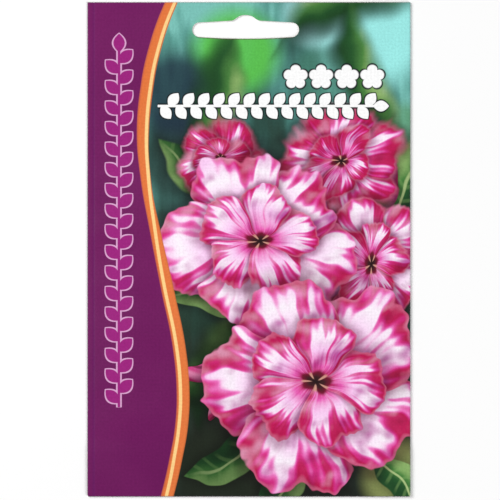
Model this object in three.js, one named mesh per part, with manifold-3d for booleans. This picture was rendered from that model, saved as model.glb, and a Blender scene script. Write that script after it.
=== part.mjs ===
// A flat paper seed packet with a hang slot, lying on its back, with the seeds that it holds.
// Millimetres. X runs across the packet, Y up its printed front, and Z out of the front.
// The origin is the middle of the packet's outline, on the surface that it lies on.
import * as THREE from "three";
import { mergeVertices } from "three/addons/utils/BufferGeometryUtils.js";
import Module from "manifold-3d";

// The finished packet.
const WIDTH = 98;
const HEIGHT = 150;
const PAPER = 0.15; // one layer of coated paper
const LAYER_STEP = 0.25; // from one pressed layer to the next, glue included
const HEADER = 26; // glued strip at the top, which carries the hang slot
const BULGE = 3.2; // how far the seeds and the air in the pocket lift the front panel
const PRESSED_FOOT = 2; // flat stretch above the bottom fold

// Tab, seam and flap, all folded out of the same sheet.
const SIDE_TAB = 10; // glued inside, between the front and the back
const SEAM_SETBACK = 1.4; // from the right fold to the back panel's free edge
const BOTTOM_FLAP = 12; // folded up over the back
const FLAP_TAPER = 2.5; // how far each end of the flap draws in at its free edge
const FLAP_PAPER = 0.12; // pressed thinner, so that it starts inside the front panel
const FLAP_TURN = 0.2; // radius of the bottom fold
const FLAP_ROOT = 1.6; // how far up the front panel the flap starts
const STEP_RUN = 9; // the front panel's rise onto the side tab

// The hang slot: a bar with round ends and a bowed foot, and a hump that centres it on a hook.
const SLOT_X = -1;
const SLOT_Y = 66.65; // middle of the round ends
const SLOT_LENGTH = 32.4;
const SLOT_END_RADIUS = 2.25;
const SLOT_BOW = 0.5; // how far its foot sags at the middle
const SHOULDER_RISE = 0.5; // from each end to the foot of the hump
const HUMP_HALF_WIDTH = 4.7;
const HUMP_RISE = 1.75; // above the shoulders

// The seeds: blunt rods, lying where they settled in the lower half of the pocket.
const SEED_LENGTH = 11;
const SEED_RADIUS = 1;
const SEED_CLEARANCE = 0.3;
const SEED_SIDES = 10;
const SEED_PLACES = [
  { x: -12, y: -33, turn: 24 },
  { x: 2, y: -24, turn: -38 },
  { x: 13, y: -34, turn: 66 },
  { x: -6, y: -12, turn: 8 },
  { x: 12, y: -15, turn: 102 },
];

const HALF_WIDTH = WIDTH / 2;
const HALF_HEIGHT = HEIGHT / 2;
const FOLD_RADIUS = LAYER_STEP / 2; // of a side fold's middle surface
const FOLD_X = HALF_WIDTH - FOLD_RADIUS - (PAPER / 2) * Math.SQRT2;
const TAB_EDGE = HALF_WIDTH - SIDE_TAB;
const GLUE_LINE = HALF_HEIGHT - HEADER;
const FLAP_EDGE = -HALF_HEIGHT + BOTTOM_FLAP;
const BACK_STEP = [FLAP_EDGE + 1, FLAP_EDGE + 6]; // where the back panel comes down off the flap

// Count + 1 even steps from start to end, both included.
const steps = (start, end, count) =>
  Array.from({ length: count + 1 }, (_, i) => THREE.MathUtils.lerp(start, end, i / count));

// Height of the back panel's middle surface. It is one layer higher where it lies on the flap.
function backLevel(y) {
  return PAPER / 2 + LAYER_STEP * (1 - THREE.MathUtils.smoothstep(y, ...BACK_STEP));
}

// How far the filled pocket lifts the front panel, with its crown a little below the middle.
function pillow(x, y) {
  const foot = -HALF_HEIGHT + PRESSED_FOOT;
  if (y <= foot || y >= GLUE_LINE) return 0;
  const up = Math.pow((y - foot) / (GLUE_LINE - foot), 0.8);
  const along = 1 - Math.pow(Math.abs(2 * up - 1), 2.2);
  const across = 1 - Math.pow(Math.abs(x) / FOLD_X, 2.2);
  return BULGE * along * Math.max(0, across);
}

// Height of the front panel's middle surface. It is one layer higher over the side tab.
function frontLevel(x, y) {
  const overTab = THREE.MathUtils.smoothstep(x, TAB_EDGE - STEP_RUN, TAB_EDGE);
  return backLevel(y) + LAYER_STEP * (1 + overTab) + pillow(x, y);
}

const FRONT_STATIONS = steps(FOLD_X, -FOLD_X, 22);

// The sheet's middle line at height y: tab, right fold, front panel, left fold, back panel.
function crossLine(y) {
  const back = backLevel(y);
  const tab = back + LAYER_STEP;
  return [
    ...steps(TAB_EDGE, FOLD_X, 3).map((x) => [x, tab]),
    [FOLD_X + FOLD_RADIUS, tab + FOLD_RADIUS],
    ...FRONT_STATIONS.map((x) => [x, frontLevel(x, y)]),
    [-FOLD_X - FOLD_RADIUS, back + FOLD_RADIUS],
    ...steps(-FOLD_X, HALF_WIDTH - SEAM_SETBACK, 5).map((x) => [x, back]),
  ];
}

// The flap's middle line at x, out of the front panel, round the bottom fold and up the back.
function flapLine(x) {
  const top = frontLevel(x, -HALF_HEIGHT);
  const low = FLAP_PAPER / 2;
  const turnY = -HALF_HEIGHT + FLAP_PAPER / 2 + FLAP_TURN;
  return [
    [-HALF_HEIGHT + FLAP_ROOT, top],
    [turnY, top],
    [turnY - FLAP_TURN, top - FLAP_TURN],
    [turnY - FLAP_TURN, low + FLAP_TURN],
    [turnY, low],
    [FLAP_EDGE, low],
  ];
}

// The two faces of a sheet with the given middle line: its left side, then its right side.
function thicken(line, thickness) {
  const points = line.map(([a, b]) => new THREE.Vector2(a, b));
  const left = [];
  const right = [];
  points.forEach((point, i) => {
    const into = point.clone().sub(points[Math.max(0, i - 1)]).normalize();
    const out = points[Math.min(points.length - 1, i + 1)].clone().sub(point).normalize();
    const along = into.clone().add(out).normalize();
    const mitre = 1 / along.dot(i > 0 ? into : out);
    const offset = new THREE.Vector2(-along.y, along.x).multiplyScalar((mitre * thickness) / 2);
    left.push(point.clone().add(offset));
    right.push(point.clone().sub(offset));
  });
  return [left, right];
}

// A closed sheet through the middle lines at its stations. place(a, b, station) sets a point in space.
function loftSheet(stations, lineAt, thickness, place) {
  const positions = [];
  const triangles = [];
  const rows = stations.map((station) => thicken(lineAt(station), thickness));
  const count = rows[0][0].length;
  rows.forEach((sides, row) => {
    for (const point of sides.flat()) positions.push(...place(point.x, point.y, stations[row]));
  });
  const corner = (row, side, i) => (2 * row + side) * count + i;
  const quad = (a, b, c, d) => triangles.push(a, b, c, a, c, d);
  const end = count - 1;
  const last = rows.length - 1;
  for (let row = 0; row < last; row++) {
    for (let i = 0; i < end; i++) {
      quad(corner(row, 0, i), corner(row, 0, i + 1), corner(row + 1, 0, i + 1), corner(row + 1, 0, i));
      quad(corner(row, 1, i + 1), corner(row, 1, i), corner(row + 1, 1, i), corner(row + 1, 1, i + 1));
    }
    quad(corner(row, 1, 0), corner(row, 0, 0), corner(row + 1, 0, 0), corner(row + 1, 1, 0));
    quad(corner(row, 0, end), corner(row, 1, end), corner(row + 1, 1, end), corner(row + 1, 0, end));
  }
  for (let i = 0; i < end; i++) {
    quad(corner(0, 0, i + 1), corner(0, 0, i), corner(0, 1, i), corner(0, 1, i + 1));
    quad(corner(last, 0, i), corner(last, 0, i + 1), corner(last, 1, i + 1), corner(last, 1, i));
  }
  const geometry = new THREE.BufferGeometry();
  geometry.setAttribute("position", new THREE.Float32BufferAttribute(positions, 3));
  geometry.setIndex(triangles);
  return geometry;
}

const wasm = await Module();
wasm.setup();

function toSolid(geometry) {
  const bare = geometry.clone();
  bare.deleteAttribute("normal");
  bare.deleteAttribute("uv");
  const merged = mergeVertices(bare);
  return new wasm.Manifold(
    new wasm.Mesh({
      numProp: 3,
      vertProperties: new Float32Array(merged.attributes.position.array),
      triVerts: new Uint32Array(merged.index.array),
    }),
  );
}

function toGeometry(solid) {
  const mesh = solid.getMesh();
  const geometry = new THREE.BufferGeometry();
  geometry.setAttribute("position", new THREE.BufferAttribute(mesh.vertProperties, 3));
  geometry.setIndex(new THREE.BufferAttribute(mesh.triVerts, 1));
  geometry.computeVertexNormals();
  return geometry;
}

// Tab, front panel and back panel: the sheet without its bottom flap.
function foldedPanels() {
  const rows = [
    -HALF_HEIGHT + 2 * FLAP_TURN,
    -HALF_HEIGHT + PRESSED_FOOT,
    ...steps(-HALF_HEIGHT + 2 * PRESSED_FOOT, BACK_STEP[0], 2),
    ...steps(BACK_STEP[0], BACK_STEP[1], 3).slice(1),
    ...steps(BACK_STEP[1], GLUE_LINE, 13).slice(1),
    HALF_HEIGHT,
  ];
  return loftSheet(rows, crossLine, PAPER, (x, z, y) => [x, y, z]);
}

// The leg that lies under the back draws in towards its free edge.
function bottomFlap() {
  const draw = (y, z) => {
    if (z >= FLAP_PAPER + FLAP_TURN / 2) return 0;
    return (FLAP_TAPER * (y + HALF_HEIGHT)) / BOTTOM_FLAP;
  };
  const place = (y, z, x) => [x * (1 - draw(y, z) / HALF_WIDTH), y, z];
  return loftSheet(FRONT_STATIONS, flapLine, FLAP_PAPER, place);
}

// Outline of the hang slot, from the lower left round to the left end.
function slotOutline() {
  const reach = SLOT_LENGTH / 2 - SLOT_END_RADIUS;
  const foot = SLOT_Y - SLOT_END_RADIUS;
  const shoulder = SLOT_Y + SLOT_END_RADIUS + SHOULDER_RISE;
  const humpTop = shoulder + HUMP_RISE;
  const humpLeft = SLOT_X - HUMP_HALF_WIDTH;
  const humpRight = SLOT_X + HUMP_HALF_WIDTH;
  const hollow = 0.6 * HUMP_HALF_WIDTH; // how far each end of the hump's curve runs level
  const outline = new THREE.Shape();
  outline.moveTo(SLOT_X - reach, foot);
  outline.quadraticCurveTo(SLOT_X, foot - 2 * SLOT_BOW, SLOT_X + reach, foot);
  outline.absarc(SLOT_X + reach, SLOT_Y, SLOT_END_RADIUS, -Math.PI / 2, Math.PI / 2, false);
  outline.lineTo(humpRight, shoulder);
  outline.bezierCurveTo(SLOT_X + hollow, shoulder, SLOT_X + hollow, humpTop, SLOT_X, humpTop);
  outline.bezierCurveTo(SLOT_X - hollow, humpTop, SLOT_X - hollow, shoulder, humpLeft, shoulder);
  outline.lineTo(SLOT_X - reach, SLOT_Y + SLOT_END_RADIUS);
  outline.absarc(SLOT_X - reach, SLOT_Y, SLOT_END_RADIUS, Math.PI / 2, (3 * Math.PI) / 2, false);
  return outline;
}

// The folded sheet: its panels and its flap, joined and then punched with the hang slot.
function envelope() {
  const depth = 10 * LAYER_STEP;
  const punch = new THREE.ExtrudeGeometry(slotOutline(), { depth, bevelEnabled: false, curveSegments: 8 });
  punch.translate(0, 0, -LAYER_STEP);
  const sheet = toSolid(foldedPanels()).add(toSolid(bottomFlap()));
  const geometry = toGeometry(sheet.subtract(toSolid(punch)));
  const coatedPaper = new THREE.MeshStandardMaterial({ color: 0x73245f, roughness: 0.4, metalness: 0 });
  const mesh = new THREE.Mesh(geometry, coatedPaper);
  mesh.name = "envelope";
  return mesh;
}

// One seed: a blunt rod, turned in plan and lying just clear of the back panel.
function seed({ x, y, turn }, number) {
  const half = SEED_LENGTH / 2;
  const rod = [
    [0, -half],
    [0.6, 0.15 - half],
    [0.85, 0.9 - half],
    [1, 2.6 - half],
    [1, half - 2.6],
    [0.85, half - 0.9],
    [0.6, half - 0.15],
    [0, half],
  ];
  const profile = rod.map(([share, along]) => new THREE.Vector2(share * SEED_RADIUS, along));
  const husk = new THREE.MeshStandardMaterial({ color: 0x8c6a42, roughness: 0.9, metalness: 0 });
  const mesh = new THREE.Mesh(new THREE.LatheGeometry(profile, SEED_SIDES), husk);
  mesh.name = `seed_${number}`;
  mesh.rotation.z = THREE.MathUtils.degToRad(turn - 90);
  mesh.position.set(x, y, PAPER + SEED_CLEARANCE + SEED_RADIUS);
  return mesh;
}

const packet = new THREE.Group();
packet.add(envelope());
SEED_PLACES.forEach((place, i) => packet.add(seed(place, i + 1)));

export default packet;
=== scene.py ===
import bmesh
import bpy
import math
from mathutils import Matrix, Vector


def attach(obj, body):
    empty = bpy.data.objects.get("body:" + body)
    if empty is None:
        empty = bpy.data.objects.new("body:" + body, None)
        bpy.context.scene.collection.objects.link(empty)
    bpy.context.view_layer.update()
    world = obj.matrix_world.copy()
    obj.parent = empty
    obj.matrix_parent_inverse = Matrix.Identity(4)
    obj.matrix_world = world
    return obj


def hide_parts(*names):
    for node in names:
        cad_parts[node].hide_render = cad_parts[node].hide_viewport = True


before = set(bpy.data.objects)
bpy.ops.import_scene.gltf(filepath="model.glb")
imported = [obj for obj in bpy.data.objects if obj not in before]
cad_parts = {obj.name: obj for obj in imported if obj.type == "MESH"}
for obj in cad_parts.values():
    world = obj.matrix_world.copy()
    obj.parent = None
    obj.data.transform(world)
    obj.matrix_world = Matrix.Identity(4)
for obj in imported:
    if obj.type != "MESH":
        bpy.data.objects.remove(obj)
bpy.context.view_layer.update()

# Where the packet is seen: it lies on its back on a plain pale table, and the camera looks
# straight down on it from a long way off, as a copy stand does. Two wide lamps light it from
# the sides, so that its gloss doesn't wash out the print, and the room fills in the rest.
PHOTO_SIDE = 0.1518          # metres of table across the picture
LENS = 200                   # millimetres, as the sensor
SENSOR = 36
AIM = (0.00033, -0.00018)    # the packet lies a little left of the picture's middle

camera_data = bpy.data.cameras.new("copy_camera")
camera_data.lens = LENS
camera_data.sensor_width = SENSOR
camera = bpy.data.objects.new("copy_camera", camera_data)
camera.location = (*AIM, PHOTO_SIDE * LENS / SENSOR)
bpy.context.scene.collection.objects.link(camera)
bpy.context.scene.camera = camera


def wide_lamp(name, place, side, watts):
    data = bpy.data.lights.new(name, "AREA")
    data.shape = "SQUARE"
    data.size = side
    data.energy = watts
    lamp = bpy.data.objects.new(name, data)
    lamp.location = place
    lamp.rotation_euler = (-Vector(place)).to_track_quat("-Z", "Y").to_euler()
    bpy.context.scene.collection.objects.link(lamp)


LAMP_SIDE = 0.6
wide_lamp("left_lamp", (-0.80, 0.45, 0.75), LAMP_SIDE, 11.1)
wide_lamp("right_lamp", (0.80, -0.50, 0.70), LAMP_SIDE, 7.0)

ROOM_LIGHT = 0.26
room = bpy.data.worlds.new("room")
room.use_nodes = True
background = room.node_tree.nodes["Background"]
background.inputs["Color"].default_value = (1, 1, 1, 1)
background.inputs["Strength"].default_value = ROOM_LIGHT
bpy.context.scene.world = room
bpy.context.scene.view_settings.view_transform = "Standard"

TABLE_SIDE = 3.0
TABLE_DROP = 0.00005         # just clear of the packet's back
TABLE_WHITE = (0.99, 0.99, 0.99, 1)
table_mesh = bpy.data.meshes.new("table")
corners = [(sx * TABLE_SIDE / 2, sy * TABLE_SIDE / 2, -TABLE_DROP) for sx, sy in
           ((-1, -1), (1, -1), (1, 1), (-1, 1))]
table_mesh.from_pydata(corners, [], [(0, 1, 2, 3)])
table = bpy.data.objects.new("table", table_mesh)
bpy.context.scene.collection.objects.link(table)
table_finish = bpy.data.materials.new("pale_table")
table_finish.use_nodes = True
table_shader = table_finish.node_tree.nodes["Principled BSDF"]
table_shader.inputs["Base Color"].default_value = TABLE_WHITE
table_shader.inputs["Roughness"].default_value = 0.9
table_mesh.materials.append(table_finish)


# The envelope: one sheet of coated paper, printed on its outside, then folded round into a flat
# pocket. A tab down the right side is glued inside the back, the bottom flap is turned up over
# the back and glued to it, and the header is glued flat and punched with the hang slot.
WIDTH = 98.0                 # millimetres, as every size of the packet here
HEIGHT = 150.0
PAPER = 0.15
LAYER_STEP = 0.25            # from one pressed layer to the next, glue included
HEADER = 26.0
BULGE = 3.2
PRESSED_FOOT = 2.0
SIDE_TAB = 10.0
SEAM_SETBACK = 1.4
BOTTOM_FLAP = 12.0
FLAP_TAPER = 2.5
STEP_RUN = 9.0               # the front panel's rise onto the side tab
FOOT_FOLD = 0.4              # how far up the packet the bottom fold starts to turn
CROWN_SHIFT = 0.8            # less than 1 sets the pocket's crown below its middle
FULLNESS = 2.2               # more is flatter on top and steeper at the folds
LONG_BUCKLE = 0.10           # height of the long waves over the pocket
SHORT_BUCKLE = 0.16          # height of the short ones along its folds
BUCKLE_REACH = 9.0           # how far in from a fold the short ones run out
CREASE_X = -47.1             # a faint pressed line down the front, beside the left fold
CREASE_DEPTH = 0.05
CREASE_WIDTH = 0.28

HALF_WIDTH = WIDTH / 2
HALF_HEIGHT = HEIGHT / 2
FOLD_RADIUS = LAYER_STEP / 2
FOLD_X = HALF_WIDTH - FOLD_RADIUS - PAPER / 2
TAB_EDGE = HALF_WIDTH - SIDE_TAB
GLUE_LINE = HALF_HEIGHT - HEADER
FLAP_EDGE = BOTTOM_FLAP - HALF_HEIGHT
BACK_STEP = (FLAP_EDGE + 1, FLAP_EDGE + 6)    # where the back comes down off the flap
FIRST_ROW = FOOT_FOLD - HALF_HEIGHT
METRES = 0.001               # in one millimetre

TAB_STEPS = 8                # faces across the side tab
FRONT_STEPS = 96
BACK_STEPS = 56
FOLD_STEPS = 8               # round each fold
FLAP_STEPS = 12
ROWS = 150                   # up the packet


def smoothstep(value, start, end):
    share = min(max((value - start) / (end - start), 0.0), 1.0)
    return share * share * (3 - 2 * share)


def steps(start, end, count):
    return [start + (end - start) * i / count for i in range(count + 1)]


def back_level(y):
    """Height of the back's middle surface, one layer higher where it lies on the flap."""
    return PAPER / 2 + LAYER_STEP * (1 - smoothstep(y, *BACK_STEP))


def pocket_share(x, y):
    """How full the pocket stands at a point: 0 at its folds and 1 at its crown."""
    foot = -HALF_HEIGHT + PRESSED_FOOT
    if y <= foot or y >= GLUE_LINE:
        return 0.0
    up = ((y - foot) / (GLUE_LINE - foot)) ** CROWN_SHIFT
    across = 1 - (abs(x) / FOLD_X) ** FULLNESS
    return max(0.0, across) * (1 - abs(2 * up - 1) ** FULLNESS)


def buckles(x, y):
    """Shallow waves where flat paper is forced into a pillow, with short ones along the folds."""
    share = pocket_share(x, y)
    calm = (1 - share) * share * 4
    long_wave = math.sin(0.09 * y + 0.5 * math.sin(0.05 * x)) * math.cos(0.055 * x + 0.8)
    from_fold = FOLD_X - abs(x)
    short_wave = math.sin(0.42 * y + math.copysign(1.1, x)) * math.exp(-from_fold / BUCKLE_REACH)
    off_fold = smoothstep(from_fold, 0.0, 4.0)
    return LONG_BUCKLE * calm * long_wave + SHORT_BUCKLE * calm * off_fold * short_wave


def front_level(x, y):
    """Height of the front's middle surface, one layer higher over the side tab."""
    over_tab = smoothstep(x, TAB_EDGE - STEP_RUN, TAB_EDGE)
    crease = CREASE_DEPTH * math.exp(-(((x - CREASE_X) / CREASE_WIDTH) ** 2))
    return (back_level(y) + LAYER_STEP * (1 + over_tab) + BULGE * pocket_share(x, y)
            + buckles(x, y) - crease)


def cross_line(y):
    """The sheet's middle line across the packet, as (panel, x, z): tab, front, then back."""
    back = back_level(y)
    tab = back + LAYER_STEP
    turn = [math.pi * i / FOLD_STEPS for i in range(1, FOLD_STEPS)]
    line = [("tab", x, tab) for x in steps(TAB_EDGE, FOLD_X, TAB_STEPS)]
    line += [("front", FOLD_X + FOLD_RADIUS * math.sin(angle),
              tab + FOLD_RADIUS * (1 - math.cos(angle))) for angle in turn]
    over_crease = [CREASE_X + d for d in (0.6, 0.3, 0.15, 0.0, -0.15, -0.3, -0.6, -0.9)]
    front = steps(FOLD_X, over_crease[0], FRONT_STEPS) + over_crease[1:] + [-FOLD_X]
    line += [("front", x, front_level(x, y)) for x in front]
    line += [("front", -FOLD_X - FOLD_RADIUS * math.sin(angle),
              back + FOLD_RADIUS * (1 + math.cos(angle))) for angle in turn]
    line += [("back", x, back) for x in steps(-FOLD_X, HALF_WIDTH - SEAM_SETBACK, BACK_STEPS)]
    return line


FRONT_PRINT, BACK_PRINT = 0, 3       # each print is followed by bare paper and by cut edge
BARE, CUT = 1, 2
SHEET_MAP = "OFBake"                 # where each point lay on the sheet before it was folded

flat_line = cross_line(HALF_HEIGHT)
SHEET_ACROSS = [0.0]                 # of each point of that line, from the back's free edge
for (_, x0, z0), (_, x1, z1) in zip(flat_line[::-1], flat_line[-2::-1]):
    SHEET_ACROSS.insert(0, SHEET_ACROSS[0] + math.hypot(x1 - x0, z1 - z0))
BACK_ACROSS = SHEET_ACROSS[[panel for panel, _, _ in flat_line].index("back")]


def envelope_mesh():
    """The sheet's middle surface, with its printed side outwards."""
    shell = bmesh.new()
    on_sheet = {}
    grid = []
    for y in steps(FIRST_ROW, HALF_HEIGHT, ROWS):
        grid.append([(panel, x, shell.verts.new((x, y, z))) for panel, x, z in cross_line(y)])
        on_sheet.update({v: (across, y) for across, (_, _, v) in zip(SHEET_ACROSS, grid[-1])})
    for lower, upper in zip(grid, grid[1:]):
        for i in range(len(lower) - 1):
            panel = lower[i + 1][0] if lower[i][0] == "front" else lower[i][0]
            quad = (lower[i][2], upper[i][2], upper[i + 1][2], lower[i + 1][2])
            shell.faces.new(quad).material_index = BACK_PRINT if panel == "back" else FRONT_PRINT

    # The flap carries on from the front's first row, round the bottom fold and up over the back.
    seam = [(x, v) for panel, x, v in grid[0] if panel == "front" and abs(x) <= FOLD_X]
    low = PAPER / 2
    turn = FIRST_ROW + HALF_HEIGHT - PAPER / 2
    last = [v for x, v in seam]
    path = [(math.pi * i / FOLD_STEPS, FIRST_ROW) for i in range(1, FOLD_STEPS + 1)]
    path += [(math.pi, y) for y in steps(FIRST_ROW, FLAP_EDGE, FLAP_STEPS)[1:]]
    for angle, y in path:
        down = FIRST_ROW - angle * LAYER_STEP - (y - FIRST_ROW)
        row = []
        for x, v in seam:
            middle = (v.co.z + low) / 2
            half = (v.co.z - low) / 2
            drawn = 1 - FLAP_TAPER / HALF_WIDTH * max(0.0, y - FIRST_ROW) / BOTTOM_FLAP
            place = (x * drawn, y - turn * math.sin(angle), middle + half * math.cos(angle))
            row.append(shell.verts.new(place))
            on_sheet[row[-1]] = (on_sheet[v][0], down)
        for i in range(len(row) - 1):
            quad = (last[i], last[i + 1], row[i + 1], row[i])
            shell.faces.new(quad).material_index = BACK_PRINT if angle > math.pi / 2 else FRONT_PRINT
        last = row

    bmesh.ops.recalc_face_normals(shell, faces=shell.faces)
    sheet_map = shell.loops.layers.uv.new(SHEET_MAP)
    for face in shell.faces:
        for corner in face.loops:
            corner[sheet_map].uv = on_sheet[corner.vert]
    mesh = bpy.data.meshes.new("envelope")
    shell.to_mesh(mesh)
    shell.free()
    mesh.transform(Matrix.Scale(METRES, 4))
    return mesh


PLATE = 165.0                # millimetres of sheet along one side of the map
PLATE_FOOT = HALF_HEIGHT + BOTTOM_FLAP + 1.0
BESIDE = 0.667               # where the front ends across the map
FLAP_FOOT = 0.46             # how far up the map the flap, the inside and the cut edges start
INSIDE_FOOT = 0.51
CUT_FOOT = 0.77


def lay_out_sheet(mesh):
    """Packs the sheet's map: the front whole, the back at half scale, the inside at a quarter."""
    places = mesh.uv_layers[SHEET_MAP].uv
    for face in mesh.polygons:
        behind = min(places[i].vector.x for i in face.loop_indices) < BACK_ACROSS + 0.01
        for i in face.loop_indices:
            across, up = places[i].vector
            if face.material_index == FRONT_PRINT:
                u, v = (across - BACK_ACROSS) / PLATE, (up + PLATE_FOOT) / PLATE
            elif face.material_index == BACK_PRINT and behind:
                u, v = BESIDE + across / PLATE / 2, (up + HALF_HEIGHT) / PLATE / 2
            elif face.material_index == BACK_PRINT:
                u, v = BESIDE + (across - BACK_ACROSS) / PLATE / 2, FLAP_FOOT + (up + PLATE_FOOT) / PLATE / 2
            elif face.material_index in (FRONT_PRINT + BARE, BACK_PRINT + BARE):
                u, v = BESIDE + across / PLATE / 4, INSIDE_FOOT + (up + PLATE_FOOT) / PLATE / 4
            else:
                x, y, z = mesh.vertices[mesh.loops[i].vertex_index].co / METRES
                along = x if abs(face.normal.y) > abs(face.normal.x) else y
                u, v = BESIDE + (along + HALF_HEIGHT) / PLATE / 3, CUT_FOOT + z / 20
            places[i].vector = (u, v)


SLOT_X = -1.0
SLOT_Y = 66.65               # middle of its round ends
SLOT_LENGTH = 32.4
SLOT_END_RADIUS = 2.25
SLOT_BOW = 0.5
SHOULDER_RISE = 0.5
HUMP_HALF_WIDTH = 4.7
HUMP_RISE = 1.75
PUNCH_SLIP = 0.12            # how much higher the back layer is cut than the front one
PUNCH_GAP = 0.02             # between the punch's two halves, inside the glue
PUNCH_FOOT, PUNCH_HEAD = -1.0, 2.0


def bezier(points, count):
    """Points along a curve with the given control points, without the last."""
    order = len(points) - 1
    curve = []
    for i in range(count):
        t = i / count
        weights = [math.comb(order, k) * (1 - t) ** (order - k) * t ** k for k in range(order + 1)]
        curve.append([sum(w * p[axis] for w, p in zip(weights, points)) for axis in (0, 1)])
    return curve


def slot_outline():
    """The hang slot from the lower left round: a bowed foot, round ends and a hump."""
    reach = SLOT_LENGTH / 2 - SLOT_END_RADIUS
    foot = SLOT_Y - SLOT_END_RADIUS
    shoulder = SLOT_Y + SLOT_END_RADIUS + SHOULDER_RISE
    top = shoulder + HUMP_RISE
    hollow = 0.6 * HUMP_HALF_WIDTH
    outline = bezier([(-reach, foot), (0, foot - 2 * SLOT_BOW), (reach, foot)], 24)
    outline += [(reach + SLOT_END_RADIUS * math.cos(a), SLOT_Y + SLOT_END_RADIUS * math.sin(a))
                for a in steps(-math.pi / 2, math.pi / 2, 16)]
    outline += bezier([(HUMP_HALF_WIDTH, shoulder), (hollow, shoulder), (hollow, top), (0, top)], 12)
    outline += bezier([(0, top), (-hollow, top), (-hollow, shoulder), (-HUMP_HALF_WIDTH, shoulder)], 12)
    outline += [(-HUMP_HALF_WIDTH, shoulder)]
    outline += [(-reach + SLOT_END_RADIUS * math.cos(a), SLOT_Y + SLOT_END_RADIUS * math.sin(a))
                for a in steps(math.pi / 2, 3 * math.pi / 2, 16)][:-1]
    return [(x + SLOT_X, y) for x, y in outline]


def slot_punch():
    """A solid for each layer of the header, in the shape of the slot."""
    solid = bmesh.new()
    between = PAPER + (LAYER_STEP - PAPER) / 2
    for low, high, slip in ((PUNCH_FOOT, between - PUNCH_GAP / 2, PUNCH_SLIP),
                            (between + PUNCH_GAP / 2, PUNCH_HEAD, 0.0)):
        outline = [(x, y + slip) for x, y in slot_outline()]
        foot = [solid.verts.new((x, y, low)) for x, y in outline]
        head = [solid.verts.new((x, y, high)) for x, y in outline]
        solid.faces.new(foot[::-1])
        solid.faces.new(head)
        for i in range(len(outline)):
            solid.faces.new((foot[i - 1], foot[i], head[i], head[i - 1]))
    for face in solid.faces:
        face.material_index = CUT
    mesh = bpy.data.meshes.new("slot_punch")
    solid.to_mesh(mesh)
    solid.free()
    mesh.transform(Matrix.Scale(METRES, 4))
    punch = bpy.data.objects.new("slot_punch", mesh)
    bpy.context.scene.collection.objects.link(punch)
    return punch


class Wire:
    """A socket in a tree of nodes. Sums written with it add the Math nodes that work them out."""

    def __init__(self, tree, socket=None):
        self.tree = tree
        self.socket = socket

    def make(self, kind, settings=None, values=None, output=0):
        """Adds a node of any type: its settings first, then the values or links of its sockets."""
        node = self.tree.nodes.new(kind)
        for name, setting in (settings or {}).items():
            if name == "stops":
                for _ in setting[2:]:
                    node.color_ramp.elements.new(1)
                for stop, (place, colour) in zip(node.color_ramp.elements, setting):
                    stop.position = place
                    stop.color = colour
            elif name == "points":
                curve = node.mapping.curves[0]
                for _ in setting[2:]:
                    curve.points.new(1, 1)
                for point, place in zip(curve.points, setting):
                    point.location = place
                node.mapping.update()
            else:
                setattr(node, name, setting)
        for name, value in (values or {}).items():
            if isinstance(value, Wire):
                self.tree.links.new(value.socket, node.inputs[name])
            else:
                node.inputs[name].default_value = value
        return Wire(self.tree, node.outputs[output])

    def math(self, operation, *others):
        return self.make("ShaderNodeMath", {"operation": operation}, dict(enumerate((self, *others))))

    def __add__(self, other):
        return self.math("ADD", other)

    def __sub__(self, other):
        return self.math("SUBTRACT", other)

    def __rsub__(self, other):
        return self.make("ShaderNodeMath", {"operation": "SUBTRACT"}, {0: other, 1: self})

    def __mul__(self, other):
        return self.math("MULTIPLY", other)

    def __truediv__(self, other):
        return self.math("DIVIDE", other)

    def __pow__(self, other):
        return self.math("POWER", other)

    def __mod__(self, other):
        return self.math("FLOORED_MODULO", other)

    def __abs__(self):
        return self.math("ABSOLUTE")

    __radd__ = __add__
    __rmul__ = __mul__

    def rise(self, start, end):
        """0 before start and 1 past end, with a smooth step between. It falls where end is less."""
        return self.make("ShaderNodeMapRange", {"interpolation_type": "SMOOTHSTEP", "clamp": False},
                         {"Value": self, "From Min": start, "From Max": end})

    def ramp(self, *stops):
        return self.make("ShaderNodeValToRGB", {"stops": stops}, {"Fac": self})

    def mix(self, under, over, blend="MIX"):
        """The colour over laid on the colour under, as strongly as this value says."""
        return self.make("ShaderNodeMix", {"data_type": "RGBA", "blend_type": blend},
                         {0: self, 6: under, 7: over}, 2)


def dye(red, green, blue):
    """A colour as a screen shows it, 0 to 255, made linear for the shaders."""
    def linear(c):
        c /= 255
        return c / 12.92 if c <= 0.04045 else ((c + 0.055) / 1.055) ** 2.4
    return linear(red), linear(green), linear(blue), 1.0


def paper_material(name):
    """A new material with its shader, and the flat place on the packet in millimetres."""
    material = bpy.data.materials.new(name)
    material.use_nodes = True
    tree = material.node_tree
    metres = Wire(tree).make("ShaderNodeTexCoord", output=3)
    flat = metres.make("ShaderNodeMapping", None, {"Vector": metres, "Scale": (1 / METRES, 1 / METRES, 0)})
    x = flat.make("ShaderNodeSeparateXYZ", None, {0: flat})
    y = Wire(tree, x.socket.node.outputs[1])
    return material, tree.nodes["Principled BSDF"], flat, x, y


def noise(flat, scale, detail=1.0, rough=0.5, shift=(0, 0), stretch=(1, 1)):
    """Cloudy noise about 0, of so many clouds in a millimetre."""
    if shift != (0, 0) or stretch != (1, 1):
        flat = flat.make("ShaderNodeMapping", None, {
            "Vector": flat, "Location": (*shift, 0), "Scale": (*stretch, 1)})
    return flat.make("ShaderNodeTexNoise", {"noise_dimensions": "2D"},
                     {"Vector": flat, "Scale": scale, "Detail": detail, "Roughness": rough}) - 0.5


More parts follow.
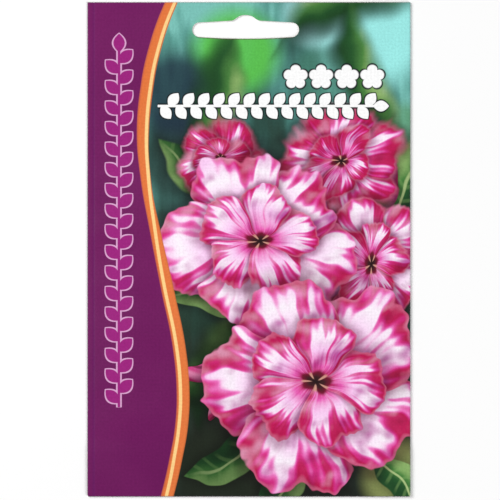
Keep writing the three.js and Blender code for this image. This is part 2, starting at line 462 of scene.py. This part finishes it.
def new_motif(name, *numbers):
    """A printed motif as a node group, which is laid over a colour. u and v are its own frame."""
    tree = bpy.data.node_groups.new(name, "ShaderNodeTree")
    tree.interface.new_socket("Under", in_out="INPUT", socket_type="NodeSocketColor")
    for number in numbers:
        tree.interface.new_socket(number, in_out="INPUT", socket_type="NodeSocketFloat")
    tree.interface.new_socket("Colour", in_out="OUTPUT", socket_type="NodeSocketColor")
    entry = tree.nodes.new("NodeGroupInput")
    return tree, [Wire(tree, socket) for socket in list(entry.outputs)[:len(numbers) + 1]]


def end_motif(tree, outline, soft, under, body):
    """Lays the body on what is under it, inside an outline of 1 with an edge as soft as soft."""
    inside = outline.rise(soft + 1, 1 - soft)
    colour = inside.mix(under, body)
    tree.links.new(colour.socket, tree.nodes.new("NodeGroupOutput").inputs[0])
    return tree


def print_motif(motif, under, x, y, centre, turn, scale, **numbers):
    """Lays a motif over the colour under, with its own frame centred, turned and scaled."""
    cos, sin = math.cos(math.radians(turn)), math.sin(math.radians(turn))
    u = x.math("MULTIPLY_ADD", cos / scale[0],
               y.math("MULTIPLY_ADD", sin / scale[0], -(centre[0] * cos + centre[1] * sin) / scale[0]))
    v = x.math("MULTIPLY_ADD", -sin / scale[1],
               y.math("MULTIPLY_ADD", cos / scale[1], (centre[0] * sin - centre[1] * cos) / scale[1]))
    return x.make("ShaderNodeGroup", {"node_tree": motif}, {"Under": under, "U": u, "V": v, **numbers})


def petal_motif():
    """One petal. U is how far along it a point is, 1 at its tip, and V how far across, 1 at its side."""
    tree, (under, share, fan, number, waves, fold, across, along, blush, soft) = new_motif(
        "petal", "U", "V", "Number", "Waves", "Fold", "Across", "Along", "Blush", "Soft")
    side = abs(fan)
    veins = ((fan * 8 + number).math("SINE") * 0.13
             + (fan * 19 - number * 2.3 + share * 2).math("SINE") * 0.09
             + (fan * 43 + number * 3.7 - share * 3).math("SINE") * 0.06)
    outline = side ** 2.6 + share ** 2.8 + waves * share * 0.8 + veins * share * 0.35

    # Its shadow on what lies under it, then its own colour from the throat out to a deep rim.
    under = (outline.rise(1.6, 0.95) * 0.55).mix(under, dye(122, 40, 86), "MULTIPLY")
    body = (share + veins * 0.12).ramp(
        (0.0, dye(112, 8, 36)), (0.14, dye(190, 18, 80)), (0.32, dye(236, 98, 184)),
        (0.52, dye(252, 204, 245)), (0.78, dye(255, 246, 255)), (1.0, dye(250, 206, 244)))
    rim = (outline + veins * 1.7 + waves * 0.5 + blush).rise(0.36, 1.16)
    rim_dye = rim.ramp((0.0, dye(252, 212, 246)), (0.35, dye(242, 126, 202)),
                       (0.68, dye(220, 50, 140)), (1.0, dye(190, 18, 82)))
    body = rim.rise(0.0, 0.45).mix(body, rim_dye)

    # Its veins, the light on its curve and its folds, and its thin pale lip.
    body = (veins.rise(0.02, 0.26) * share.rise(1.0, 0.3) * 0.5).mix(body, dye(230, 90, 168))
    light = fan * across * 0.40 + (share - 0.6) * along * 0.55 + fold * 1.7 + veins * 0.6
    body = light.rise(0.05, -0.75).mix(body, dye(190, 100, 166), "MULTIPLY")
    body = (light.rise(0.0, 0.75) * 0.42).mix(body, dye(255, 222, 250))
    lip = outline.rise(0.86, 0.97) * 0.16
    body = lip.mix(body, dye(250, 190, 224))
    return end_motif(tree, outline, soft, under, body)


def bloom_motif(petal):
    """A wide-open flower of two whorls of petals round a dark throat. Its frame ends at its rim."""
    tree, (under, u, v, turn, light_x, light_y, kind, blush, soft, waves, fold) = new_motif(
        "bloom", "U", "V", "Turn", "Light X", "Light Y", "Kind", "Blush", "Soft", "Waves", "Fold")
    reach = (u * u + v * v) ** 0.5
    bearing = v.math("ARCTAN2", u)
    along = (u * light_x + v * light_y) / reach
    across = (u * light_y - v * light_x) / reach
    sector = 2 * math.pi / 5

    # The outer whorl, then the inner one. At any place only the two petals beside it can show.
    for size, twist, half_width, flush in ((1.0, 0.0, 0.88, 0.0), (0.62, 0.62, 0.82, 0.12)):
        swing = bearing + turn + twist
        whole = (swing / sector).math("FLOOR")
        into = swing % sector
        for step in (0, 1):
            number = (whole + step) % 5 + kind
            length = (number * 2.1 + twist * 9).math("SINE") * (0.07 * size) + size
            under = under.make("ShaderNodeGroup", {"node_tree": petal}, {
                "Under": under, "U": reach / length, "V": (into - step * sector) / half_width,
                "Number": number * 13.7, "Waves": waves, "Fold": fold,
                "Across": across, "Along": along, "Blush": blush + flush, "Soft": soft})

    # The throat, star-shaped, with a pale thread down the middle of each point.
    star = ((bearing + turn) * 5).math("COSINE")
    depth = reach * (star * 0.14 + 1.0)
    throat = (depth * 7).ramp((0.0, dye(30, 16, 18)), (0.4, dye(62, 24, 30)),
                              (0.75, dye(116, 14, 46)), (1.0, dye(170, 30, 86)))
    threads = star.rise(0.55, 1.0) * reach.rise(0.13, 0.11) * reach.rise(0.02, 0.05)
    throat = (threads * 0.75).mix(throat, dye(232, 170, 150))
    return end_motif(tree, depth * 8, 0.2, under, throat)


def leaf_motif():
    """A glossy oval leaf from its stalk at 0 to its tip at 1, 1 wide at its middle."""
    tree, (under, u, v, bend, light, soft, waves) = new_motif(
        "leaf", "U", "V", "Bend", "Light", "Soft", "Waves")
    across = (v - u * (1 - u) * bend * 4) * 2
    side = abs(across)
    outline = side + (2 * u - 1) ** 2
    under = (outline.rise(1.6, 0.8) * 0.5).mix(under, dye(40, 60, 40), "MULTIPLY")
    lit = across.rise(-0.75, 0.8) * 0.6 + u * 0.3 + waves * 0.5 + 0.05
    body = lit.ramp((0.0, dye(14, 44, 24)), (0.35, dye(34, 84, 40)), (0.65, dye(74, 130, 62)),
                    (0.9, dye(150, 186, 112)), (1.0, dye(196, 216, 160)))
    crisp = soft.rise(0.35, 0.08)
    ribs = (u * 40 - side * 4).math("SINE").rise(0.3, 1.0) * side.rise(0.95, 0.5) * crisp * 0.28
    body = ribs.mix(body, dye(136, 178, 104))
    body = (side.rise(0.11, 0.03) * u.rise(1.0, 0.7) * crisp * 0.8).mix(body, dye(186, 208, 142))
    body = light.rise(1.0, 0.0).mix(body, dye(52, 84, 66), "MULTIPLY")
    return end_motif(tree, outline, soft, under, body)


def bud_motif():
    """A closed bud, wound like a shell, from its calyx at 0 to its tip at 1."""
    tree, (under, u, v, light, soft, waves) = new_motif("bud", "U", "V", "Light", "Soft", "Waves")
    across = v * 2 / (1.06 - u * 0.62)
    side = abs(across)
    outline = side ** 2.2 + abs(2 * u - 1) ** 3.2
    under = (outline.rise(1.7, 0.8) * 0.5).mix(under, dye(60, 50, 60), "MULTIPLY")
    body = (u + waves * 0.2).ramp(
        (0.0, dye(110, 132, 70)), (0.14, dye(170, 120, 110)), (0.3, dye(226, 110, 168)),
        (0.7, dye(206, 48, 124)), (1.0, dye(150, 20, 72)))
    seam = (across * 2.4 + u * 7.5).math("SINE")
    body = (seam.rise(0.82, 1.0) * 0.75).mix(body, dye(122, 12, 62))
    body = (seam.rise(0.3, -0.9) * 0.4).mix(body, dye(248, 190, 222))
    body = (across * light).rise(-0.15, 1.0).mix(body, dye(150, 70, 130), "MULTIPLY")
    return end_motif(tree, outline, soft, under, body)


# The picture on the front, from its far greenery to its nearest bloom.
BLURS = (    # centre, radius, colour, strength
    ((38, 66), 18, dye(166, 246, 242), 0.85), ((21, 72), 11, dye(176, 236, 236), 0.75),
    ((-4, 60), 14, dye(90, 192, 76), 0.95), ((-20, 28), 16, dye(30, 50, 46), 0.85),
    ((-22, 47), 14, dye(26, 46, 64), 0.85), ((47, 36), 9, dye(92, 150, 92), 0.6),
    ((-7, -66), 17, dye(28, 36, 24), 0.9), ((46, -69), 12, dye(158, 170, 100), 0.7),
    ((-16, -16), 12, dye(30, 52, 40), 0.75), ((22, 53), 9, dye(64, 120, 96), 0.5),
)
LEAVES = (   # stalk, turn, length, width, bend, light, softness
    ((10, 62), 20, 46, 15, 0.15, 0.75, 0.55), ((30, 74), -70, 40, 12, -0.1, 0.9, 0.5),
    ((-6, 66), -110, 34, 13, 0.1, 0.8, 0.6), ((-16, -52), 60, 40, 15, 0.1, 0.25, 0.35),
    ((44, 8), 60, 34, 14, 0.12, 0.8, 0.12), ((-6, 18), 145, 26, 12, 0.1, 0.5, 0.10),
    ((2, -20), 168, 28, 12, -0.12, 0.6, 0.04), ((6, -52), 214, 30, 13, 0.1, 0.45, 0.04),
    ((30, -10), 12, 30, 13, -0.1, 0.85, 0.04), ((16, -64), 246, 26, 11, -0.1, 0.6, 0.04),
    ((36, -62), -52, 26, 12, 0.1, 1.0, 0.04),
)
BUDS = (     # calyx, turn, length, width, softness
    ((38, 12), 70, 19, 9, 0.12), ((-7, -34), 196, 17, 8, 0.03), ((-4, -40), 232, 14, 7, 0.03),
)
BLOOMS = (   # centre, size, turn, squeeze, lean, kind, blush, softness
    ((27, 26), 20, 10, 0.85, 30, 3, 0.36, 0.20), ((-9, 27), 14, 60, 0.9, -20, 8, 0.45, 0.32),
    ((37, -4), 21, 25, 0.86, 70, 5, 0.20, 0.08), ((3, 3), 29, 48, 0.92, 20, 1, 0.0, 0.03),
    ((20, -40), 34, 8, 0.94, -25, 12, 0.14, 0.02),
)
SWAY = 6.0                   # how far the cloudy noise draws each motif out of true
LIGHT_FROM = 122             # degrees round from the right
LIGHT_WAY = (math.cos(math.radians(LIGHT_FROM)), math.sin(math.radians(LIGHT_FROM)))


def picture(flat, x, y):
    """The flowers and leaves, as a colour."""
    waves = noise(flat, 0.10, 1.5)
    nearer_light = tuple(1.8 * c for c in LIGHT_WAY)
    fold = noise(flat, 0.13, 1.0) - noise(flat, 0.13, 1.0, shift=nearer_light)
    sway_x = x + noise(flat, 0.07, 1.0, shift=(31, 7)) * SWAY
    sway_y = y + noise(flat, 0.07, 1.0, shift=(90, 40)) * SWAY
    tone = (y / HEIGHT + 0.5 + noise(flat, 0.04, 2.0) * 0.8
            + noise(flat, 1.0, 2.0, stretch=(0.16, 0.035)) * 0.6)
    art = tone.ramp((0.0, dye(26, 32, 26)), (0.3, dye(38, 54, 44)), (0.52, dye(42, 76, 68)),
                    (0.72, dye(66, 118, 110)), (0.9, dye(92, 158, 148)), (1.0, dye(122, 192, 182)))
    for (cx, cy), radius, colour, strength in BLURS:
        far = ((x - cx) ** 2 + (y - cy) ** 2) ** 0.5
        art = (far.rise(radius * 1.2, radius * 0.6) * strength).mix(art, colour)
    leaf, bud, bloom = leaf_motif(), bud_motif(), bloom_motif(petal_motif())
    for stalk, turn, length, width, bend, light, soft in LEAVES:
        art = print_motif(leaf, art, sway_x, sway_y, stalk, turn, (length, width),
                          Bend=bend * length / width, Light=light, Soft=soft, Waves=waves)
    for calyx, turn, length, width, soft in BUDS:
        shaded = -math.copysign(1, math.sin(math.radians(LIGHT_FROM - turn)))
        art = print_motif(bud, art, sway_x, sway_y, calyx, turn, (length, width),
                          Light=shaded, Soft=soft, Waves=waves)
    for centre, size, turn, squeeze, lean, kind, blush, soft in BLOOMS:
        toward = math.radians(LIGHT_FROM - lean)
        lit = {"Light X": math.cos(toward), "Light Y": math.sin(toward)}
        art = print_motif(bloom, art, sway_x, sway_y, centre, lean, (size, size * squeeze), **lit,
                          Turn=math.radians(turn), Kind=kind, Blush=blush, Soft=soft, Waves=waves,
                          Fold=fold)
    return art


def within(place, first, last, edge):
    """0 between first and last, rising to 1 over edge beyond them."""
    return abs(place - (first + last) / 2).rise((last - first) / 2, (last - first) / 2 + edge)


def from_cell(place, pitch, count):
    """How far a place is past the start of its own cell, in a row of so many cells from 0."""
    cell = (place / pitch).math("FLOOR").math("MAXIMUM", 0).math("MINIMUM", count - 1)
    return place - cell * pitch


def sprig(u, v, pitch, reach, lean, thick, count):
    """How far a place is inside a stem with so many leaves to each side, below 1 inside."""
    moved = u - v.math("GREATER_THAN", 0) * (pitch / 2)
    into = from_cell(moved, pitch, count) - pitch * 0.2
    out = abs(v)
    along = (into * math.cos(lean) + out * math.sin(lean)) / reach
    across = out * math.cos(lean) - into * math.sin(lean)
    blade = abs(across) / thick + (2 * along - 1) ** 2
    end = (count + 0.35) * pitch
    stem = (out - 0.36) / thick + 1 + within(u, 0, end, 1.0) * 9
    last = out / thick + (2 * (u - end + 0.8) / reach - 1) ** 2
    return blade.math("MINIMUM", stem).math("MINIMUM", last)


def blossoms(u, v, pitch, radius, count):
    """A row of so many small five-petalled flowers, below 1 inside."""
    into = from_cell(u, pitch, count) - pitch / 2
    reach = (into * into + v * v) ** 0.5
    petals = (v.math("ARCTAN2", into) * 2.5 + math.pi * 0.25).math("SINE")
    return reach / (abs(petals) ** 0.6 * (0.34 * radius) + 0.66 * radius)


STRIPE_PATH = (   # up the packet and across it: the left edge of the orange stripe
    (-75, -26.8), (-64, -24.2), (-52, -22.2), (-42, -21.9), (-30, -23.0), (-12, -26.6), (5, -29.9),
    (22, -32.9), (35, -34.0), (50, -32.8), (62, -30.2), (75, -25.5),
)
STRIPE_SPAN = 40.0           # left of the middle, past the furthest that the edge goes
STRIPE_WAIST = 16.0          # how far up the packet the stripe is narrowest
STRIPE_WIDTH = 3.0           # there
STRIPE_SWELL = 0.9           # how much wider it is at its ends
ORANGE = dye(229, 122, 63)
YELLOW = dye(254, 211, 141)
SLOT_SHADE_WIDTH = 0.42         # of the dark line of painted shade along the slot's lower edge
SLOT_SHADE_HALF_LENGTH = 14.5


def front_print():
    """The front's ink: a flower picture, a leafy ornament on a purple band, and a stripe between."""
    material, shader, flat, x, y = paper_material("front_print")
    art = picture(flat, x, y)

    # A row of white blossoms over a white sprig, both with a dark edge.
    row = blossoms(x - 10.3, y - 52.3, pitch=7.75, radius=3.7, count=4)
    twig = sprig(x + 27.6, y - 43.5, pitch=4.6, reach=4.9, lean=0.92, thick=1.65, count=14)
    for shape, halo in ((row, 0.12), (twig, 0.28)):
        art = shape.rise(1.08 + halo, 1.04 + halo / 2).mix(art, dye(16, 26, 28))
        art = shape.rise(1.06, 0.94).mix(art, dye(253, 253, 253))

    # The purple band and its column of leaves, and the stripe down its edge.
    curve = [((up + HALF_HEIGHT) / HEIGHT, (across + STRIPE_SPAN) / STRIPE_SPAN)
             for up, across in STRIPE_PATH]
    height = y / HEIGHT + 0.5
    edge = height.make("ShaderNodeFloatCurve", {"points": curve}, {"Value": height})
    edge = edge * STRIPE_SPAN - STRIPE_SPAN
    band = (noise(flat, 0.05, 2.0) * 0.6 + height * 0.36 + 0.25).ramp(
        (0.0, dye(104, 14, 86)), (1.0, dye(120, 28, 98)))
    # Painted shade along the pressed crease: a faint darker line in the band.
    band = (abs(x - CREASE_X).rise(0.6, 0.2) * 0.12).mix(band, dye(60, 22, 108))
    column = sprig(y + 47.8, x + 39.4, pitch=6.25, reach=5.6, lean=0.80, thick=1.7, count=17)
    band = (column.rise(1.34, 1.26) * 0.85).mix(band, dye(232, 178, 220))
    band = column.rise(1.06, 0.98).mix(band, dye(156, 30, 124))
    from_edge = x - edge
    art = from_edge.rise(0.5, -0.1).mix(art, band)
    width = abs(y - STRIPE_WAIST).rise(0, 30) * STRIPE_SWELL + STRIPE_WIDTH
    stripe = from_edge.rise(-0.14, 0.14) * (from_edge - width).rise(0.16, -0.16)
    orange = (from_edge / width).ramp(
        (0.0, dye(194, 90, 70)), (0.16, dye(227, 118, 59)), (0.86, ORANGE), (1.0, dye(198, 104, 54)))
    line_at = y.rise(-12, 42) * 1.85 + y.rise(-52, -80) * 0.6 + 1.17
    line = abs(from_edge - line_at).rise(0.64, 0.36)
    orange = line.mix(orange, YELLOW)
    art = stripe.mix(art, orange)

    # Painted shade: a dark line along the slot's lower edge.
    bow = ((x - SLOT_X) / (SLOT_LENGTH / 2 - SLOT_END_RADIUS)) ** 2
    foot = y - (SLOT_Y - SLOT_END_RADIUS - SLOT_BOW) - bow * SLOT_BOW
    painted_slot_shade = foot.rise(-SLOT_SHADE_WIDTH, -0.10) * abs(x - SLOT_X).rise(
        SLOT_SHADE_HALF_LENGTH + 1, SLOT_SHADE_HALF_LENGTH - 1) * y.rise(66.0, 65.0)
    art = (painted_slot_shade * 0.7).mix(art, dye(70, 62, 44))

    return coated(material, shader, flat, x, y, art)


GRAIN_DEPTH = 0.34
SCREEN_TURN = 6.05           # radians of the print screen in a millimetre
SCREEN_DEPTH = 0.012
EDGE_WEAR_AND_SHADE_WIDTH = 0.45            # how far in from the packet's edges the print is darkened with painted shade and roughened by wear
EDGE_SHADE_SHARE = 0.4


def coated(material, shader, flat, x, y, art):
    """Finishes a print: the ink's grain and screen, the coating's uneven sheen, painted shade darkening its
    edges and wear roughening them.
    """
    grain = noise(flat, 1.5, 3.0, 0.7)
    screen = (x * SCREEN_TURN).math("SINE") + (y * SCREEN_TURN).math("SINE")
    art = art.make("ShaderNodeHueSaturation", None, {
        "Color": art, "Value": grain * GRAIN_DEPTH + screen * SCREEN_DEPTH + 1.0})
    to_edge = (abs(x) - HALF_WIDTH).math("MAXIMUM", abs(y) - HALF_HEIGHT)
    edge_wear_and_shade = (to_edge + noise(flat, 0.9, 4.0, 0.7) * 0.2).rise(-EDGE_WEAR_AND_SHADE_WIDTH, 0.05)
    # Painted shade darkens the print along the packet's edges; the same mask also makes them rougher, as wear
    # does.
    art = (edge_wear_and_shade * EDGE_SHADE_SHARE).mix(art, dye(78, 68, 80))
    material.node_tree.links.new(art.socket, shader.inputs["Base Color"])
    handled = noise(flat, 0.045, 3.0, 0.6, shift=(12, 60))
    roughness = handled * 0.22 + grain * 0.10 + edge_wear_and_shade * 0.30 + 0.36
    material.node_tree.links.new(roughness.socket, shader.inputs["Roughness"])
    height = grain + noise(flat, 0.22, 2.0, shift=(50, 9)) * 4
    bump = height.make("ShaderNodeBump", None, {"Height": height, "Strength": 0.6, "Distance": 0.00002})
    material.node_tree.links.new(bump.socket, shader.inputs["Normal"])
    shader.inputs["Specular IOR Level"].default_value = 0.25
    return material


OFF_WHITE = dye(248, 245, 238)
YEAR_Y = -20.0               # middle of the row of boxes
YEAR_HALF_LENGTH = 39.0
MONTH = 6.5                  # one box's pitch
RULE_OFF = 7.0               # from the boxes' middle to each thin rule
SIGNS_Y = -43.0
SIGN_PITCH = 26.0
SPOT_RADIUS = 8.3
BLOOM_PLACE = (0, 18)
BLOOM_SIZE = 15
HEADER_FOOT = 46.0           # where the purple header's stripe starts, going up
FLAP_HEAD = -62.2            # where the purple flap's starts, going down


def back_print():
    """The back's ink: a bloom between two sprigs, a year in twelve boxes, and three signs."""
    material, shader, flat, x, y = paper_material("back_print")
    x = x * -1           # so that it is laid out as it is read from behind
    cloud = noise(flat, 0.05, 2.0)
    art = (cloud * 0.6 + 0.5).ramp((0.0, dye(238, 234, 226)), (1.0, OFF_WHITE))
    purple = dye(112, 24, 92)
    shade = (cloud * 0.6 + 0.5).ramp((0.0, dye(108, 20, 88)), (1.0, dye(117, 28, 96)))

    # The year, sown in its orange boxes and in flower in its green ones, between two thin rules.
    into = (x + YEAR_HALF_LENGTH) % MONTH
    month = ((x + YEAR_HALF_LENGTH) / MONTH).math("FLOOR")
    box = into.math("MINIMUM", MONTH - into).rise(0.35, 0.55) * abs(y - YEAR_Y).rise(2.6, 2.4)
    fill = (month.rise(1.4, 1.6) * month.rise(4.6, 4.4)).mix(OFF_WHITE, ORANGE)
    fill = (month.rise(5.4, 5.6) * month.rise(9.6, 9.4)).mix(fill, dye(98, 160, 92))
    lines = abs(y - YEAR_Y).rise(3.0, 2.8) * abs(x).rise(YEAR_HALF_LENGTH + 0.2, YEAR_HALF_LENGTH)
    art = lines.mix(art, purple)
    art = (box * abs(x).rise(YEAR_HALF_LENGTH - 0.2, YEAR_HALF_LENGTH - 0.4)).mix(art, fill)
    rules = abs(abs(y - YEAR_Y) - RULE_OFF).rise(0.25, 0.10) * abs(x).rise(
        YEAR_HALF_LENGTH + 0.2, YEAR_HALF_LENGTH)
    art = (rules * 0.8).mix(art, purple)

    # Three signs on round spots: sun, water drop and sprout.
    beside = abs(x).math("GREATER_THAN", SIGN_PITCH / 2)
    u = x - x.math("SIGN") * beside * SIGN_PITCH
    v = y - SIGNS_Y
    reach = (u * u + v * v) ** 0.5
    art = reach.rise(SPOT_RADIUS + 0.1, SPOT_RADIUS - 0.1).mix(art, shade)
    rays = (v.math("ARCTAN2", u) * 8).math("COSINE").rise(0.1, 0.4) * abs(reach - 4.9).rise(1.1, 0.9)
    sun = reach.rise(3.0, 2.8).math("MAXIMUM", rays) * x.math("LESS_THAN", -SIGN_PITCH / 2)
    drop = (u * u + (v + 1.4) ** 2) ** 0.5
    peak = abs(u) * 1.75 + v
    drop = drop.rise(2.8, 2.6).math("MAXIMUM", peak.rise(4.3, 4.1) * v.rise(-0.2, 0.0)) * (1 - beside)
    leaf_u = abs(u) * 0.80 + v * 0.60
    leaf_v = v * 0.80 - abs(u) * 0.60
    blade = abs(leaf_v) / 1.5 + (leaf_u / 2.7 - 1) ** 2
    stalk = abs(u) / 0.4 + within(v, -4.4, 0.4, 0.3) * 9
    sprout = blade.math("MINIMUM", stalk).rise(1.06, 0.96) * x.math("GREATER_THAN", SIGN_PITCH / 2)
    art = (sun + drop + sprout).mix(art, OFF_WHITE)

    # A bloom between two sprigs.
    for side in (1, -1):
        twig = sprig(x * side - (BLOOM_SIZE + 0.5), y - BLOOM_PLACE[1],
                     pitch=4.2, reach=4.4, lean=0.85, thick=1.3, count=4)
        art = twig.rise(1.06, 0.94).mix(art, dye(98, 150, 90))
    waves = noise(flat, 0.10, 1.5)
    lit = dict(zip(("Light X", "Light Y"), LIGHT_WAY))
    art = print_motif(bloom_motif(petal_motif()), art, x, y, BLOOM_PLACE, 0, (BLOOM_SIZE, BLOOM_SIZE),
                      **lit, Turn=0.3, Kind=4, Soft=0.03, Waves=waves)

    # The header and the flap are purple, with the front's stripe along them as a straight line.
    for line in (y - HEADER_FOOT, FLAP_HEAD - y):
        art = line.rise(-0.05, 0.05).mix(art, ORANGE)
        art = abs(line - 0.75).rise(0.42, 0.28).mix(art, YELLOW)
        art = line.rise(1.55, 1.65).mix(art, shade)
    return coated(material, shader, flat, x, y, art)


def plain_paper(name, colour):
    """The sheet's own white stock, where no ink covers it."""
    material, shader, flat, _, _ = paper_material(name)
    fibre = noise(flat, 1.6, 4.0, 0.7) + 0.5
    tint = fibre.ramp((0.25, tuple(c * 0.93 for c in colour[:3]) + (1,)), (0.75, colour))
    material.node_tree.links.new(tint.socket, shader.inputs["Base Color"])
    roughness = fibre * 0.2 + 0.75
    material.node_tree.links.new(roughness.socket, shader.inputs["Roughness"])
    bump = fibre.make("ShaderNodeBump", None, {"Height": fibre, "Strength": 0.7, "Distance": 0.00004})
    material.node_tree.links.new(bump.socket, shader.inputs["Normal"])
    return material


envelope = bpy.data.objects.new("paper_envelope", envelope_mesh())
bpy.context.scene.collection.objects.link(envelope)
front = front_print()
back = back_print()
bare = plain_paper("bare_paper", dye(240, 238, 232))
cut = plain_paper("cut_edge", dye(222, 218, 210))
for finish in (front, bare, cut, back, bare, cut):
    envelope.data.materials.append(finish)

thickness = envelope.modifiers.new("thickness", "SOLIDIFY")
thickness.thickness = PAPER * METRES
thickness.offset = 0
thickness.use_even_offset = True
thickness.material_offset = BARE
thickness.material_offset_rim = CUT
punch = slot_punch()
cutting = envelope.modifiers.new("cutting", "BOOLEAN")
cutting.object = punch
cutting.operation = "DIFFERENCE"
cutting.solver = "EXACT"
shaped = envelope.evaluated_get(bpy.context.evaluated_depsgraph_get())
finished = bpy.data.meshes.new_from_object(shaped)
finished.name = "paper_envelope"
envelope.modifiers.clear()
envelope.data = finished
bpy.data.objects.remove(punch)
lay_out_sheet(finished)
finished.shade_smooth()
finished.set_sharp_from_angle(angle=math.radians(40))

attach(envelope, "root")
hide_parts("envelope")


# The seeds, loose in the pocket: blunt, dry brown husks. Each is finely ribbed and wrinkled along
# its length and a little bent, and no two are alike.
SEEDS = (    # x, y, turn in degrees, bend in millimetres
    (-12, -33, 24, 0.10), (2, -24, -38, -0.12), (13, -34, 66, 0.08),
    (-6, -12, 8, -0.09), (12, -15, 102, 0.12),
)
SEED_LENGTH = 11.0
SEED_RADIUS = 1.0
SEED_Z = 1.45                # height of its middle line
RIBS = 11.0                  # round each husk
RIB_DEPTH = 0.07             # as a share of the radius
HUSK_INPUTS = (
    ("Length", "Float", SEED_LENGTH * METRES), ("Radius", "Float", SEED_RADIUS * METRES),
    ("Ribs", "Float", RIBS), ("Rib Depth", "Float", RIB_DEPTH),
    ("Bend", "Float", 0.0), ("Seed", "Float", 0.0), ("Finish", "Material", None),
)


def husk_finish():
    """Dry husk, streaked light and dark along its length."""
    material = bpy.data.materials.new("seed_husk")
    material.use_nodes = True
    shader = material.node_tree.nodes["Principled BSDF"]
    along = Wire(material.node_tree).make("ShaderNodeAttribute", {"attribute_name": "husk_place"}, output=1)
    streak = along.make("ShaderNodeTexNoise", None, {
        "Vector": along, "Scale": 9.0, "Detail": 4.0, "Roughness": 0.65})
    colour = streak.ramp((0.25, dye(78, 52, 30)), (0.5, dye(142, 106, 66)), (0.75, dye(192, 160, 112)))
    roughness = streak * 0.25 + 0.62
    bump = streak.make("ShaderNodeBump", None, {"Height": streak, "Strength": 0.8, "Distance": 0.00006})
    for wire, name in ((colour, "Base Color"), (roughness, "Roughness"), (bump, "Normal")):
        material.node_tree.links.new(wire.socket, shader.inputs[name])
    return material


def husk_tree():
    """A rod along X, worked from a cylinder of radius 1 and height 1 to the sizes that are put in."""
    tree = bpy.data.node_groups.new("husk", "GeometryNodeTree")
    tree.interface.new_socket("Geometry", in_out="INPUT", socket_type="NodeSocketGeometry")
    for name, kind, value in HUSK_INPUTS:
        socket = tree.interface.new_socket(name, in_out="INPUT", socket_type="NodeSocket" + kind)
        if value is not None:
            socket.default_value = value
    tree.interface.new_socket("Geometry", in_out="OUTPUT", socket_type="NodeSocketGeometry")
    entry = tree.nodes.new("NodeGroupInput")
    length, radius, ribs, depth, bend, seed, finish = [
        Wire(tree, socket) for socket in list(entry.outputs)[1:len(HUSK_INPUTS) + 1]]
    rod = length.make("GeometryNodeMeshCylinder", {"fill_type": "TRIANGLE_FAN"}, {
        "Vertices": 66, "Side Segments": 48, "Fill Segments": 5, "Radius": 1.0, "Depth": 1.0})
    place = length.make("GeometryNodeInputPosition")
    x = place.make("ShaderNodeSeparateXYZ", None, {0: place})
    y, z = [Wire(tree, x.socket.node.outputs[i]) for i in (1, 2)]
    streaked = x.make("ShaderNodeCombineXYZ", None, {"X": x, "Y": y, "Z": z * 0.5 + seed})
    rod = rod.make("GeometryNodeStoreNamedAttribute", {"data_type": "FLOAT_VECTOR", "domain": "POINT"}, {
        "Geometry": rod, "Name": "husk_place", "Value": streaked})
    along = z * 2
    blunt = 1 - abs(along) ** 7 * 0.45
    wrinkle = x.make("ShaderNodeTexNoise", None, {"Vector": streaked, "Scale": 4.0, "Detail": 2.0})
    ribbed = (y.math("ARCTAN2", x) * ribs + wrinkle * 5 + seed).math("SINE") * 0.5 + 0.5
    girth = (1 - ribbed * depth) * (wrinkle * 0.16 + 0.86) * blunt * radius
    dome = 0.03 - (x * x + y * y) * 0.03
    end = along.math("SIGN") * abs(along).math("GREATER_THAN", 0.999)
    placed = x.make("ShaderNodeCombineXYZ", None, {
        "X": (z * 0.94 + dome * end) * length, "Y": x * girth + (along * along - 0.4) * bend, "Z": y * girth})
    rod = rod.make("GeometryNodeSetPosition", None, {"Geometry": rod, "Position": placed})
    rod = rod.make("GeometryNodeSetShadeSmooth", None, {"Geometry": rod})
    rod = rod.make("GeometryNodeRealizeInstances", None, {"Geometry": rod})
    rod = rod.make("GeometryNodeSetMaterial", None, {"Geometry": rod, "Material": finish})
    tree.links.new(rod.socket, tree.nodes.new("NodeGroupOutput").inputs[0])
    return tree


husks = husk_tree()
husk_material = husk_finish()
husk_sockets = {
    item.name: item.identifier for item in husks.interface.items_tree if item.in_out == "INPUT"}
for number, (seed_x, seed_y, turn, bend) in enumerate(SEEDS, 1):
    seed = bpy.data.objects.new("husk_%d" % number, bpy.data.meshes.new("husk_%d" % number))
    bpy.context.scene.collection.objects.link(seed)
    growth = seed.modifiers.new("growth", "NODES")
    growth.node_group = husks
    growth[husk_sockets["Bend"]] = bend * METRES
    growth[husk_sockets["Seed"]] = number * 3.7
    growth[husk_sockets["Finish"]] = husk_material
    shaped = seed.evaluated_get(bpy.context.evaluated_depsgraph_get())
    grown = bpy.data.meshes.new_from_object(shaped)
    seed.modifiers.clear()
    seed.data = grown
    lay = Matrix.Translation((seed_x * METRES, seed_y * METRES, SEED_Z * METRES))
    grown.transform(lay @ Matrix.Rotation(math.radians(turn), 4, "Z"))
    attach(seed, "root")
    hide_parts("seed_%d" % number)
